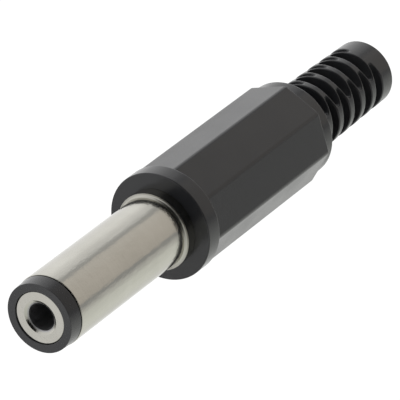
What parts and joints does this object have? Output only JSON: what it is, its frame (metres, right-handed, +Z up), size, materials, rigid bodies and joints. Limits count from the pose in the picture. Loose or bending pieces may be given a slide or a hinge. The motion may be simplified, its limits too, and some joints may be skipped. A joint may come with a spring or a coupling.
{
  "type": "dc barrel plug",
  "caption": "Coaxial power plug for a cable: plated barrel with a black insulated tip and socket contact, octagonal screw-on handle and slotted strain relief.",
  "frame": {"origin": "on the plug's axis, where the straight barrel meets the flare of its flange", "axes": "+X along the axis towards the cable end, -X towards the tip, +Z up as it lies, square to a flat of the grip"},
  "size_m": [0.0441, 0.0084, 0.0084],
  "materials": {
    "black_moulding": "satin moulded",
    "nickel_plate": "nickel plated, satin",
    "black_insulator": "satin moulded",
    "terminal_sheet": "tinned, stamped"
  },
  "bodies": {
    "core": {"sleeve": "nickel_plate", "tip_insulator": "black_insulator", "centre_contact": "nickel_plate", "rear_insulator": "black_insulator", "sleeve_terminal": "terminal_sheet", "centre_terminal": "terminal_sheet"},
    "handle": {"handle": "black_moulding"}
  },
  "joints": [
    {"name": "handle_slide", "type": "slide", "parent": "core", "child": "handle", "axis": [1, 0, 0], "range_m": [0, 0.0155]}
  ]
}
